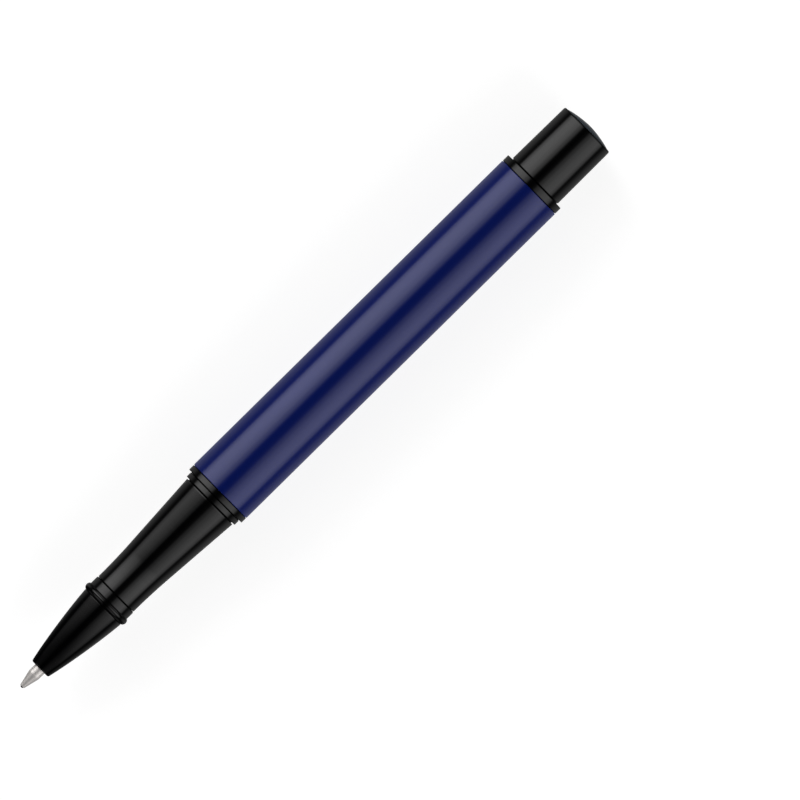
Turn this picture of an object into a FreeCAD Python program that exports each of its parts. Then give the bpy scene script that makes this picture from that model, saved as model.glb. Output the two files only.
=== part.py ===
"""Capped rollerball pen, uncapped, with its cap pulled off in line ahead of the writing point.

The pen's axis is the X axis. x = 0 is the front face of the barrel tube, +X runs to the tail and -X to
the writing point. Every turned piece is a PartDesign body: one closed outline of (x, radius) points in
the XZ plane, revolved about X. All the sizes are cells of the spreadsheet Dims, and each sketch
constraint is bound to them.
"""

import FreeCAD, Part

import math
import os

import Sketcher
from FreeCAD import Placement, Rotation, Vector

# name, millimetres (or degrees or turns), meaning
SIZES = [
    ("barrel_r", 6.0, "outside radius of the blue barrel tube"),
    ("barrel_wall", 0.5, "wall of the barrel tube"),
    ("barrel_end", 69.3, "rear face of the barrel tube"),
    ("glue_gap", 0.02, "radial glue line round a bonded or pressed piece"),
    ("edge", 0.1, "broken edge on turned metal"),
    ("trim_inset", 0.02, "how far the trim rings sit below the tube"),
    ("trim_edge", 0.08, "broken edge of the section's rings"),
    ("cut_margin", 1.0, "how far a cutter's outline stands clear of the work"),
    # screw joint between barrel and section
    ("pitch", 0.8, "pitch of the section thread"),
    ("thread_turns", 6.0, "turns that free the section"),
    ("thread_r", 4.3, "crest radius of the male thread"),
    ("thread_root_r", 3.9, "root radius of the male thread"),
    ("nut_crest_r", 3.98, "crest radius of the female thread"),
    ("nut_root_r", 4.38, "root radius of the female thread"),
    ("flank", 0.625, "axial run of a thread flank for each millimetre of depth"),
    ("groove_half", 0.33, "half width of the male groove at the crest"),
    ("nut_groove_half", 0.31, "half width of the female groove at its crest"),
    ("overcut", 0.08, "how far a thread cutter stands clear of the work"),
    ("relief_r", 3.86, "radius of the run-out groove under the male thread"),
    ("nut_relief_r", 4.46, "radius of the clearance in the bushing"),
    ("nut_start", 1.2, "first thread of the bushing"),
    ("nut_end", 6.2, "last thread of the bushing"),
    ("nut_relief_end", 7.2, "end of the run-out inside the bushing"),
    ("bushing_end", 9.0, "rear face of the bushing"),
    ("bushing_bore_r", 3.4, "bore that guides the refill"),
    ("male_relief_x", 0.2, "front end of the run-out groove under the male thread"),
    ("male_start", 1.0, "first thread of the section core"),
    ("male_lead", 0.4, "lead chamfer of the male thread"),
    ("male_end", 5.8, "rear end of the section core"),
    # tail end
    ("tail_insert_front", 58.3, "front face of the brass insert in the tail of the tube"),
    ("tail_ring_front", 69.38, "front face of the tail ring"),
    ("tail_ring_rear", 70.6, "rear face of the tail ring"),
    ("spigot_r", 4.6, "spigot of the tail plug"),
    ("spigot_front", 57.3, "front end of the tail plug's spigot"),
    ("neck_r", 4.86, "neck between the tail ring and the head of the plug"),
    ("head_front", 70.84, "front edge of the plug's head"),
    ("head_r", 5.13, "radius of the plug's head at the ring"),
    ("head_rear_r", 5.05, "radius of the plug's head at its end"),
    ("head_end", 82.5, "end face of the plug's head"),
    ("head_round", 0.32, "rounded rim of the plug's head"),
    ("spring_bore_r", 3.3, "bore that holds the spring"),
    ("spring_seat", 73.7, "closed end of the spring bore"),
    ("dome_r", 4.45, "radius of the domed tail button"),
    ("dome_seat", 82.1, "floor of the button's recess"),
    ("dome_top", 83.2, "crown of the button"),
    ("dome_stem_r", 1.4, "stem of the button"),
    ("dome_stem_front", 78.1, "front end of the button's stem"),
    # section
    ("core_bore_r", 3.15, "bore of the section core"),
    ("core_r", 3.47, "outside of the core under the grip"),
    ("core_front", -29.0, "front end of the core"),
    ("flange_front", -3.3, "front face of the core's flange"),
    ("grip_front", -23.4, "front end of the grip"),
    ("grip_rear", -2.5, "rear end of the grip"),
    ("grip_front_r", 3.98, "radius of the grip at its front end"),
    ("grip_waist_x", -22.5, "where the grip's flare begins"),
    ("grip_waist_r", 4.0, "radius there"),
    ("grip_flare_x", -16.56, "where the flare turns into a straight taper"),
    ("grip_flare_r", 4.2, "radius there"),
    ("grip_curve_r", 88.8, "radius of the flare"),
    ("grip_rear_r", 5.14, "radius of the grip at its rear end"),
    ("grip_chamfer", 0.13, "chamfer on the rear rim of the grip"),
    ("snap_ring_front", -2.15, "front face of the ring that the cap grips"),
    ("snap_ring_rear", -1.2, "rear face of that ring"),
    ("snap_ring_r", 5.46, "radius of the ring that the cap grips"),
    ("stop_ring_front", -1.1, "front face of the ring that stops the cap"),
    ("stop_ring_rear", -0.08, "rear face of that ring"),
    ("nose_ring_front", -26.28, "front face of the nose ring"),
    ("nose_ring_rear", -23.56, "rear face of the nose ring"),
    ("bead_rear", -25.0, "where the bead meets the band"),
    ("band_r", 4.08, "radius of the band behind the bead"),
    ("bead_arc_r", 0.71, "section radius of the bead"),
    ("nose_rear", -26.36, "rear face of the nose cone"),
    ("nose_rear_r", 4.0, "radius of the nose cone at its rear"),
    ("nose_front", -40.5, "front face of the nose cone"),
    ("nose_face_r", 1.6, "flat of the front face"),
    ("nose_shoulder_x", -40.16, "where the rounded lip meets the cone"),
    ("nose_shoulder_r", 1.9, "radius there"),
    ("nose_lip_round", 0.36, "radius of the rounded lip"),
    ("nose_curve_r", 107.0, "barrelled side of the nose cone"),
    ("nose_hole_r", 1.2, "hole that the tip comes out of"),
    ("nose_hole_rear", -39.5, "inner end of that hole"),
    ("nose_seat_x", -30.45, "front end of the wide bore"),
    # refill
    ("refill_r", 3.0, "outside radius of the refill"),
    ("refill_wall", 0.35, "wall of the refill tube"),
    ("refill_tube_front", -27.0, "front end of the refill tube"),
    ("refill_tube_rear", 63.5, "rear end of the refill tube"),
    ("refill_rear", 66.3, "rear end of the refill"),
    ("refill_chamfer", 0.3, "chamfer on the refill's rear end"),
    ("end_plug_front", 60.5, "front end of the rear plug's spigot"),
    ("vent_r", 0.4, "vent through the rear plug"),
    ("holder_front", -39.1, "front end of the tip holder"),
    ("holder_front_r", 1.3, "radius there"),
    ("holder_neck_x", -36.4, "where the holder's taper ends"),
    ("holder_neck_r", 1.75, "radius of the holder's neck"),
    ("holder_step_x", -31.6, "step up to the shoulder"),
    ("holder_step_r", 2.4, "small end of the shoulder"),
    ("holder_body_x", -30.6, "large end of the shoulder"),
    ("holder_rear", -24.0, "rear end of the holder's spigot"),
    ("holder_bore_r", 0.8, "bore for the wick"),
    ("core_ink_front", -23.8, "front end of the fibre ink core"),
    ("core_ink_rear", 58.5, "rear end of the fibre ink core"),
    ("wick_r", 0.46, "radius of the feed wick"),
    ("wick_front", -42.4, "front end of the wick"),
    ("wick_rear", -20.0, "rear end of the wick"),
    ("tip_r", 1.06, "shank of the metal tip"),
    ("tip_rear", -35.1, "rear end of the metal tip"),
    ("tip_cone_x", -41.86, "where the tip's cone begins"),
    ("tip_face_x", -44.5, "rim that holds the ball"),
    ("tip_face_r", 0.43, "outside radius of that rim"),
    ("tip_bore_r", 0.5, "bore of the tip"),
    ("tip_bore_front", -42.5, "front end of that bore"),
    ("channel_r", 0.15, "ink channel to the ball"),
    ("channel_rear", -42.9, "rear end of the channel"),
    ("ball_x", -44.37, "centre of the writing ball"),
    ("ball_r", 0.35, "radius of the writing ball"),
    ("cup_r", 0.37, "radius of the socket round the ball"),
    ("spring_front", 66.35, "front end of the spring"),
    ("spring_coil_r", 2.6, "mean radius of the coils"),
    ("spring_wire_r", 0.2, "radius of the spring wire"),
    ("spring_closed_pitch", 0.42, "pitch of the closed end coils"),
    ("spring_open_pitch", 1.21, "pitch of the active coils"),
    ("spring_turns", 5.0, "number of active coils"),
    # cap; its own lengths are depths behind the mouth
    ("cap_mouth", -60.0, "mouth of the cap, pulled off ahead of the point"),
    ("cap_r", 6.35, "outside radius of the cap tube"),
    ("cap_wall", 0.45, "wall of the cap tube"),
    ("lip_show", 4.2, "length of lip ring that shows"),
    ("lip_length", 7.4, "length of the lip ring"),
    ("lip_bore_r", 5.52, "bore of the lip ring"),
    ("lip_line", 0.6, "distance of each turned line from the edge of the band"),
    ("lip_line_half", 0.09, "half width of a turned line"),
    ("lip_line_depth", 0.1, "depth of a turned line"),
    ("cap_top", 65.5, "depth of the cap tube's closed end"),
    ("liner_front", 7.5, "front end of the inner cap"),
    ("liner_step", 14.0, "depth where the inner cap narrows"),
    ("liner_step_end", 15.0, "depth where it is narrow"),
    ("liner_mouth_r", 5.5, "bore of the inner cap's mouth"),
    ("liner_r", 4.75, "bore of the inner cap round the nose"),
    ("liner_seat", 45.2, "depth of the inner cap's closed end"),
    ("liner_end", 46.6, "outer end of the inner cap"),
    ("slot_width", 0.8, "slots that make spring fingers of its mouth"),
    ("slot_end", 12.5, "depth that the slots reach"),
    ("slots", 6.0, "number of slots"),
    ("plug_front", 60.5, "inner face of the cap's top plug"),
    ("stud_hole_r", 1.27, "tapped hole for the finial's stud"),
    ("clip_ring_r", 5.9, "radius of the clip's ring"),
    ("clip_ring_hole_r", 1.6, "hole in the clip's ring"),
    ("clip_thick", 0.8, "thickness of the clip"),
    ("finial_r", 5.95, "radius of the finial"),
    ("finial_rim", 1.5, "height of the finial's rim"),
    ("finial_round", 0.3, "rounded rim of the finial"),
    ("finial_dome_r", 5.1, "radius of the finial's dome"),
    ("finial_rise", 0.78, "rise of the dome"),
    ("stud_r", 1.22, "radius of the finial's stud"),
    ("stud_length", 4.6, "length of the finial's stud"),
    # clip, drawn above the cap and then turned about the axis
    ("clip_turn", 106.9, "angle of the clip about the axis, from straight up"),
    ("clip_root_width", 4.9, "width of the clip's tongue"),
    ("clip_width", 6.2, "greatest width of the clip"),
    ("clip_plan_r", 425.0, "radius of the clip's long sides, seen from above"),
    ("clip_pivot_r", 6.5, "height at which the clip flexes"),
    ("clip_gap", 0.06, "gap between the fixed and the flexing part"),
    ("clip_bend_r", 1.5, "outside radius of the clip's bend"),
    ("clip_peak_r", 11.55, "greatest height of the clip's back"),
    ("clip_peak", 23.0, "distance of that peak from the root"),
    ("clip_arch_r", 72.5, "radius of the clip's arched back"),
    ("clip_length", 47.5, "length of the clip"),
    ("clip_soft_edge", 0.25, "rounding of the clip's long edges"),
]


class Size:
    """A length that carries both its number and the spreadsheet formula that gives it."""

    def __init__(self, value, text):
        self.value, self.text = value, text

    def joined(self, sign, other, value):
        return Size(value, f"({self.text} {sign} {as_size(other).text})")

    def __add__(self, other):
        return self.joined("+", other, self.value + as_size(other).value)

    def __sub__(self, other):
        return self.joined("-", other, self.value - as_size(other).value)

    def __mul__(self, other):
        return self.joined("*", other, self.value * as_size(other).value)

    def __truediv__(self, other):
        return self.joined("/", other, self.value / as_size(other).value)

    def __neg__(self):
        return Size(-self.value, f"(0 - {self.text})")


def as_size(number):
    return number if isinstance(number, Size) else Size(float(number), repr(float(number)))


def root_of(size):
    return Size(math.sqrt(size.value), f"sqrt({size.text})")


class Sheet:
    """The sizes by name, as attributes."""


def make_sheet(doc):
    sheet = doc.addObject("Spreadsheet::Sheet", "Dims")
    sizes = Sheet()
    for row, (alias, value, meaning) in enumerate(SIZES, start=1):
        sheet.set(f"A{row}", alias)
        sheet.set(f"B{row}", str(value))
        sheet.setAlias(f"B{row}", alias)
        sheet.set(f"C{row}", meaning)
        setattr(sizes, alias, Size(value, f"Dims.{alias}"))
    return sizes


doc = FreeCAD.newDocument("rollerball_pen")
d = make_sheet(doc)
doc.recompute()
AXIS = as_size(0)
# stands in for an arc's radius where the arc is part of a sphere centred on the axis
ON_AXIS = "centre on the axis"


def new_body(label):
    body = doc.addObject("PartDesign::Body", label)
    body.Label = label
    return body


def origin_plane(body, role):
    return next(f for f in body.Origin.OriginFeatures if f.Role == role)


def new_sketch(body, name, role="XZ_Plane"):
    sketch = body.newObject("Sketcher::SketchObject", name)
    sketch.AttachmentSupport = [(origin_plane(body, role), "")]
    sketch.MapMode = "FlatFace"
    return sketch


def bind(sketch, index, name, size):
    """Names a constraint and binds it to the sheet."""
    sketch.renameConstraint(index, name)
    sketch.setExpression(f"Constraints.{name}", size.text)


def pin_point(sketch, geo, end, name, point):
    """Holds one end of an edge at (x, y), both measured from the origin."""
    for kind, mark, size in (("DistanceX", "x", point[0]), ("DistanceY", "y", point[1])):
        if size is AXIS:
            line = -1 if kind == "DistanceY" else -2
            sketch.addConstraint(Sketcher.Constraint("PointOnObject", geo, end, line))
            continue
        index = sketch.addConstraint(Sketcher.Constraint(kind, -1, 1, geo, end, size.value))
        bind(sketch, index, f"{name}_{mark}", size)


def arc_centre(start, end, radius, side):
    if radius is ON_AXIS:
        x = (start.x**2 - end.x**2 + start.y**2 - end.y**2) / (2 * (start.x - end.x))
        return Vector(x, 0, 0)
    chord = end - start
    left = Vector(-chord.y, chord.x, 0).normalize()
    reach = math.sqrt(max(radius.value**2 - chord.Length**2 / 4, 0))
    return (start + end) / 2 - left * side * reach


def arc_between(start, end, radius, side):
    """An arc that bulges to the left of the way from start to end for side +1, to the right for -1."""
    centre = arc_centre(start, end, radius, side)
    first, last = (end, start) if side > 0 else (start, end)
    circle = Part.Circle(centre, Vector(0, 0, 1), (start - centre).Length)
    angles = [math.atan2(p.y - centre.y, p.x - centre.x) for p in (first, last)]
    return Part.ArcOfCircle(circle, angles[0], angles[1]), side > 0


def size_arc(sketch, geo, name, radius):
    if radius is ON_AXIS:
        sketch.addConstraint(Sketcher.Constraint("PointOnObject", geo, 3, -1))
        return
    index = sketch.addConstraint(Sketcher.Constraint("Radius", geo, radius.value))
    bind(sketch, index, name, radius)


def closed_outline(sketch, outline):
    """Draws a closed outline. An entry is (x, y), or (x, y, radius, side) where an arc leads on from it."""
    points = [Vector(p[0].value, p[1].value, 0) for p in outline]
    ends = []
    for i, entry in enumerate(outline):
        start, end = points[i], points[(i + 1) % len(points)]
        if len(entry) > 2:
            shape, turned_round = arc_between(start, end, entry[2], entry[3])
        else:
            shape, turned_round = Part.LineSegment(start, end), False
        geo = sketch.addGeometry(shape, False)
        ends.append((geo, (2, 1) if turned_round else (1, 2)))
    for i, (geo, (first, last)) in enumerate(ends):
        following, (next_first, _) = ends[(i + 1) % len(ends)]
        sketch.addConstraint(Sketcher.Constraint("Coincident", geo, last, following, next_first))
        pin_point(sketch, geo, first, f"p{i}", outline[i][:2])
        if len(outline[i]) > 2:
            size_arc(sketch, geo, f"arc{i}", outline[i][2])


def turned(label, outline):
    """A piece made on a lathe: the outline of (x, radius) points, revolved about the pen's axis."""
    body = new_body(label)
    sketch = new_sketch(body, f"{label}_outline")
    closed_outline(sketch, outline)
    revolve = body.newObject("PartDesign::Revolution", f"{label}_turned")
    revolve.Profile = sketch
    revolve.ReferenceAxis = (sketch, ["H_Axis"])
    revolve.Angle = 360
    sketch.Visibility = False
    return body


def sleeve(front, rear, bore_r, outer_r, chamfer):
    """Outline of a plain ring or tube with broken outer edges."""
    return [
        (front, bore_r),
        (front, outer_r - chamfer),
        (front + chamfer, outer_r),
        (rear - chamfer, outer_r),
        (rear, outer_r - chamfer),
        (rear, bore_r),
    ]


def thread_groove(body, label, start, length, wide_r, deep_r, half, toward):
    """Cuts a helical groove: half wide at wide_r, narrowing along the flanks to deep_r."""
    depth = (deep_r - wide_r) * toward
    clear_r = wide_r - d.overcut * toward
    wide = half + d.flank * d.overcut
    narrow = half - d.flank * depth
    sketch = new_sketch(body, f"{label}_cutter")
    outline = [(start - wide, clear_r), (start + wide, clear_r)]
    outline += [(start + narrow, deep_r), (start - narrow, deep_r)]
    closed_outline(sketch, outline)
    helix = body.newObject("PartDesign::SubtractiveHelix", f"{label}_thread")
    helix.Profile = sketch
    helix.ReferenceAxis = (sketch, ["H_Axis"])
    helix.Mode = "pitch-height-angle"
    helix.setExpression("Pitch", d.pitch.text)
    helix.setExpression("Height", length.text)
    sketch.Visibility = False


def build_barrel():
    wall_r = d.barrel_r - d.barrel_wall
    insert_r = wall_r - d.glue_gap
    trim_r = d.barrel_r - d.trim_inset
    turned("barrel_tube", sleeve(AXIS, d.barrel_end, wall_r, d.barrel_r, d.edge / 2))
    bushing = turned(
        "barrel_bushing",
        [
            (AXIS, insert_r),
            (AXIS, d.nut_relief_r),
            (d.nut_start, d.nut_relief_r),
            (d.nut_start, d.nut_crest_r),
            (d.nut_end, d.nut_crest_r),
            (d.nut_end, d.nut_relief_r),
            (d.nut_relief_end, d.nut_relief_r),
            (d.nut_relief_end, d.bushing_bore_r),
            (d.bushing_end, d.bushing_bore_r),
            (d.bushing_end, insert_r),
        ],
    )
    start = d.male_start - d.pitch
    thread_groove(
        bushing, "bushing", start, d.nut_end - start + d.pitch / 2,
        d.nut_crest_r, d.nut_root_r, d.nut_groove_half, 1,
    )
    spigot_bore = d.spigot_r + d.glue_gap
    turned("tail_insert", sleeve(d.tail_insert_front, d.barrel_end, spigot_bore, insert_r, d.edge))
    turned("tail_ring", sleeve(d.tail_ring_front, d.tail_ring_rear, spigot_bore, trim_r, d.edge))
    stem_bore = d.dome_stem_r + d.glue_gap
    stem_end = d.dome_stem_front - d.edge
    seat_r = d.dome_r + d.glue_gap
    turned(
        "tail_plug",
        [
            (d.spigot_front, d.spring_bore_r),
            (d.spigot_front, d.spigot_r),
            (d.tail_ring_rear, d.spigot_r),
            (d.tail_ring_rear, d.neck_r),
            (d.head_front, d.neck_r),
            (d.head_front, d.head_r - d.edge),
            (d.head_front + d.edge, d.head_r),
            (d.head_end - d.head_round, d.head_rear_r, d.head_round, 1),
            (d.head_end, d.head_rear_r - d.head_round),
            (d.head_end, seat_r),
            (d.dome_seat, seat_r),
            (d.dome_seat, stem_bore),
            (stem_end, stem_bore),
            (stem_end, AXIS),
            (d.spring_seat, AXIS),
            (d.spring_seat, d.spring_bore_r),
        ],
    )
    crown_edge = d.head_end + d.glue_gap
    turned(
        "tail_button",
        [
            (d.dome_stem_front, AXIS),
            (d.dome_stem_front, d.dome_stem_r),
            (d.dome_seat, d.dome_stem_r),
            (d.dome_seat, d.dome_r),
            (crown_edge, d.dome_r, ON_AXIS, 1),
            (d.dome_top, AXIS),
        ],
    )


def coil(body, label, front, pitch, turns):
    """Adds whole turns of spring wire that begin and end above the axis."""
    sketch = new_sketch(body, f"{label}_wire")
    centre = Vector(front.value, d.spring_coil_r.value, 0)
    geo = sketch.addGeometry(Part.Circle(centre, Vector(0, 0, 1), d.spring_wire_r.value), False)
    pin_point(sketch, geo, 3, "wire", (front, d.spring_coil_r))
    index = sketch.addConstraint(Sketcher.Constraint("Radius", geo, d.spring_wire_r.value))
    bind(sketch, index, "wire_r", d.spring_wire_r)
    helix = body.newObject("PartDesign::AdditiveHelix", f"{label}_coils")
    helix.Profile = sketch
    helix.ReferenceAxis = (sketch, ["H_Axis"])
    helix.Mode = "pitch-turns-angle"
    helix.setExpression("Pitch", pitch.text)
    helix.setExpression("Turns", turns.text)
    sketch.Visibility = False


def build_spring():
    body = new_body("refill_spring")
    one = as_size(1)
    first = d.spring_front + d.spring_wire_r
    middle = first + d.spring_closed_pitch
    last = middle + d.spring_open_pitch * d.spring_turns
    coil(body, "front", first, d.spring_closed_pitch, one)
    coil(body, "active", middle, d.spring_open_pitch, d.spring_turns)
    coil(body, "rear", last, d.spring_closed_pitch, one)


def build_refill():
    bore_r = d.refill_r - d.refill_wall
    fit_r = bore_r - d.glue_gap
    tip_seat_r = d.tip_r + d.glue_gap / 2
    tip_seat_end = d.tip_rear + d.edge
    wick_hole_r = d.wick_r + d.glue_gap
    turned(
        "refill_tube", sleeve(d.refill_tube_front, d.refill_tube_rear, bore_r, d.refill_r, d.edge)
    )
    turned(
        "refill_end_plug",
        [
            (d.end_plug_front, d.vent_r),
            (d.end_plug_front, fit_r),
            (d.refill_tube_rear, fit_r),
            (d.refill_tube_rear, d.refill_r),
            (d.refill_rear - d.refill_chamfer, d.refill_r),
            (d.refill_rear, d.refill_r - d.refill_chamfer),
            (d.refill_rear, d.vent_r),
        ],
    )
    turned(
        "refill_holder",
        [
            (d.holder_front, tip_seat_r),
            (d.holder_front, d.holder_front_r),
            (d.holder_neck_x, d.holder_neck_r),
            (d.holder_step_x, d.holder_neck_r),
            (d.holder_step_x, d.holder_step_r),
            (d.holder_body_x, d.refill_r),
            (d.refill_tube_front, d.refill_r),
            (d.refill_tube_front, fit_r),
            (d.holder_rear, fit_r),
            (d.holder_rear, d.holder_bore_r),
            (tip_seat_end, d.holder_bore_r),
            (tip_seat_end, tip_seat_r),
        ],
    )
    turned(
        "ink_core",
        [
            (d.core_ink_front, wick_hole_r),
            (d.core_ink_front, fit_r),
            (d.core_ink_rear, fit_r),
            (d.core_ink_rear, AXIS),
            (d.wick_rear + d.edge, AXIS),
            (d.wick_rear + d.edge, wick_hole_r),
        ],
    )
    turned(
        "feed_wick",
        [(d.wick_front, AXIS), (d.wick_front, d.wick_r), (d.wick_rear, d.wick_r), (d.wick_rear, AXIS)],
    )
    rim_depth = d.ball_x - d.tip_face_x
    cup_rim_r = root_of(d.cup_r * d.cup_r - rim_depth * rim_depth)
    cup_back_x = d.ball_x + root_of(d.cup_r * d.cup_r - d.channel_r * d.channel_r)
    turned(
        "refill_tip",
        [
            (d.tip_face_x, cup_rim_r),
            (d.tip_face_x, d.tip_face_r),
            (d.tip_cone_x, d.tip_r),
            (d.tip_rear, d.tip_r),
            (d.tip_rear, d.tip_bore_r),
            (d.tip_bore_front, d.tip_bore_r),
            (d.channel_rear, d.channel_r),
            (cup_back_x, d.channel_r, ON_AXIS, -1),
        ],
    )
    ball = new_body("tip_ball")
    sphere = ball.newObject("PartDesign::AdditiveSphere", "ball")
    sphere.setExpression("Radius", d.ball_r.text)
    ball.setExpression("Placement.Base.x", d.ball_x.text)


def build_section():
    over_core_r = d.core_r + d.glue_gap
    over_flange_r = d.thread_r + d.glue_gap
    core = turned(
        "section_core",
        [
            (d.core_front, d.core_bore_r),
            (d.core_front, d.core_r),
            (d.flange_front, d.core_r),
            (d.flange_front, d.thread_r),
            (d.male_relief_x, d.thread_r),
            (d.male_relief_x, d.relief_r),
            (d.male_start, d.relief_r),
            (d.male_start, d.thread_r),
            (d.male_end - d.male_lead, d.thread_r),
            (d.male_end, d.relief_r),
            (d.male_end, d.core_bore_r),
        ],
    )
    start = d.male_start - d.pitch / 2
    thread_groove(
        core, "core", start, d.male_end - start + d.pitch,
        d.thread_r, d.thread_root_r, d.groove_half, -1,
    )
    seat = d.flange_front - d.edge / 2
    turned(
        "grip",
        [
            (d.grip_front, over_core_r),
            (d.grip_front, d.grip_front_r - d.edge / 2),
            (d.grip_front + d.edge / 2, d.grip_front_r),
            (d.grip_waist_x, d.grip_waist_r, d.grip_curve_r, -1),
            (d.grip_flare_x, d.grip_flare_r),
            (d.grip_rear - d.grip_chamfer, d.grip_rear_r),
            (d.grip_rear, d.grip_rear_r - d.grip_chamfer),
            (d.grip_rear, over_flange_r),
            (seat, over_flange_r),
            (seat, over_core_r),
        ],
    )
    trim_r = d.barrel_r - d.trim_inset
    turned(
        "snap_ring",
        sleeve(d.snap_ring_front, d.snap_ring_rear, over_flange_r, d.snap_ring_r, d.trim_edge),
    )
    turned(
        "stop_ring", sleeve(d.stop_ring_front, d.stop_ring_rear, over_flange_r, trim_r, d.trim_edge)
    )
    turned(
        "nose_ring",
        [
            (d.nose_ring_front, over_core_r),
            (d.nose_ring_front, d.nose_rear_r, d.bead_arc_r, 1),
            (d.bead_rear, d.band_r),
            (d.nose_ring_rear - d.edge / 2, d.band_r),
            (d.nose_ring_rear, d.band_r - d.edge / 2),
            (d.nose_ring_rear, over_core_r),
        ],
    )
    neck_r = d.holder_neck_r + d.edge
    core_end = d.core_front - d.edge
    turned(
        "nose_cone",
        [
            (d.nose_front, d.nose_hole_r),
            (d.nose_front, d.nose_face_r, d.nose_lip_round, 1),
            (d.nose_shoulder_x, d.nose_shoulder_r, d.nose_curve_r, 1),
            (d.nose_rear, d.nose_rear_r),
            (d.nose_rear, over_core_r),
            (core_end, over_core_r),
            (core_end, d.core_bore_r),
            (d.nose_seat_x, d.core_bore_r),
            (d.holder_step_x - d.edge, d.holder_step_r + d.edge),
            (d.holder_step_x - d.edge, neck_r),
            (d.holder_neck_x - d.edge, neck_r),
            (d.nose_hole_rear, d.holder_front_r + d.edge),
            (d.nose_hole_rear, d.nose_hole_r),
        ],
    )


def build_cap():
    """Depths are measured from the mouth towards the cap's closed end, which is along -X."""
    inner_r = d.cap_r - d.cap_wall
    fit_r = inner_r - d.glue_gap
    mouth = d.cap_mouth

    def at(depth):
        return mouth - depth

    turned("cap_tube", sleeve(at(d.cap_top), at(d.lip_show), inner_r, d.cap_r, d.edge))
    cut_r = fit_r - d.lip_line_depth
    line_1, line_2 = d.lip_line, d.lip_show - d.lip_line
    turned(
        "cap_lip_ring",
        [
            (at(d.lip_length), d.lip_bore_r),
            (at(d.lip_length), fit_r),
            (at(line_2 + d.lip_line_half), fit_r),
            (at(line_2), cut_r),
            (at(line_2 - d.lip_line_half), fit_r),
            (at(line_1 + d.lip_line_half), fit_r),
            (at(line_1), cut_r),
            (at(line_1 - d.lip_line_half), fit_r),
            (at(d.edge), fit_r),
            (mouth, fit_r - d.edge),
            (mouth, d.lip_bore_r + d.edge),
            (at(d.edge), d.lip_bore_r),
        ],
    )
    liner = turned(
        "inner_cap",
        [
            (at(d.liner_end), AXIS),
            (at(d.liner_end), fit_r),
            (at(d.liner_front), fit_r),
            (at(d.liner_front), d.liner_mouth_r),
            (at(d.liner_step), d.liner_mouth_r),
            (at(d.liner_step_end), d.liner_r),
            (at(d.liner_seat), d.liner_r),
            (at(d.liner_seat), AXIS),
        ],
    )
    sketch = new_sketch(liner, "finger_slot", "XY_Plane")
    half = d.slot_width / 2
    clear = at(d.liner_front - d.cut_margin)
    closed_outline(
        sketch, [(at(d.slot_end), -half), (clear, -half), (clear, half), (at(d.slot_end), half)]
    )
    slot = liner.newObject("PartDesign::Pocket", "finger_slot_cut")
    slot.Profile = sketch
    slot.setExpression("Length", d.cap_r.text)
    slot.Reversed = True
    doc.recompute()
    fingers = liner.newObject("PartDesign::PolarPattern", "finger_slots")
    fingers.Originals = [slot]
    fingers.Axis = (origin_plane(liner, "X_Axis"), [""])
    fingers.Angle = 360
    fingers.setExpression("Occurrences", d.slots.text)
    liner.Tip = fingers

    turned(
        "cap_top_plug",
        [
            (at(d.cap_top), d.stud_hole_r),
            (at(d.cap_top), fit_r),
            (at(d.plug_front), fit_r),
            (at(d.plug_front), d.stud_hole_r),
        ],
    )
    under = d.cap_top + d.clip_thick
    rim = under + d.finial_rim
    stud_end = under - d.stud_length
    turned(
        "finial",
        [
            (at(rim + d.finial_rise), AXIS, ON_AXIS, 1),
            (at(rim), d.finial_dome_r),
            (at(rim), d.finial_r - d.finial_round, d.finial_round, 1),
            (at(rim - d.finial_round), d.finial_r),
            (at(under + d.edge), d.finial_r),
            (at(under), d.finial_r - d.edge),
            (at(under), d.stud_r),
            (at(stud_end), d.stud_r),
            (at(stud_end), AXIS),
        ],
    )


def build_clip():
    """The clip is one bent strip, kept as two bodies that part where it flexes."""
    turn = Placement(Vector(0, 0, 0), Rotation(Vector(1, 0, 0), d.clip_turn.value))
    front = d.cap_mouth - d.cap_top
    back = front - d.clip_thick

    root = turned("clip_root", sleeve(back, front, d.clip_ring_hole_r, d.clip_ring_r, d.edge))
    tongue = new_sketch(root, "tongue_outline")
    low = d.clip_ring_r / 2
    closed_outline(tongue, [(back, low), (front, low), (front, d.clip_pivot_r), (back, d.clip_pivot_r)])
    pad_across(root, tongue, "tongue", d.clip_root_width)
    root.Placement = turn

    arm = new_body("clip_arm")
    side = new_sketch(arm, "arm_side")
    tip = back + d.clip_length
    hinge_r = d.clip_pivot_r + d.clip_gap
    arch = d.clip_arch_r
    sole = arch - d.clip_thick
    reach = arch - d.clip_bend_r
    inner_bend = d.clip_bend_r - d.clip_thick
    arch_x, arch_z = back + d.clip_peak, d.clip_peak_r - arch
    bend_dx = d.clip_peak - d.clip_bend_r
    bend_z = arch_z + root_of(reach * reach - bend_dx * bend_dx)
    back_part, sole_part = arch / reach, sole / reach
    tip_dx = d.clip_length - d.clip_peak
    closed_outline(
        side,
        [
            (back, hinge_r),
            (back, bend_z, d.clip_bend_r, 1),
            (arch_x - bend_dx * back_part, arch_z + (bend_z - arch_z) * back_part, arch, 1),
            (tip, arch_z + root_of(arch * arch - tip_dx * tip_dx)),
            (tip, arch_z + root_of(sole * sole - tip_dx * tip_dx), sole, -1),
            (arch_x - bend_dx * sole_part, arch_z + (bend_z - arch_z) * sole_part, inner_bend, -1),
            (front, bend_z),
            (front, hinge_r),
        ],
    )
    pad_across(arm, side, "arm", d.clip_width * 2)
    narrow_arm(arm, back, tip)
    arm.Placement = turn


def pad_across(body, sketch, name, width):
    """Pads a side view of the clip by the same amount each way."""
    pad = body.newObject("PartDesign::Pad", name)
    pad.Profile = sketch
    pad.Midplane = True
    pad.setExpression("Length", width.text)
    sketch.Visibility = False


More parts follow.
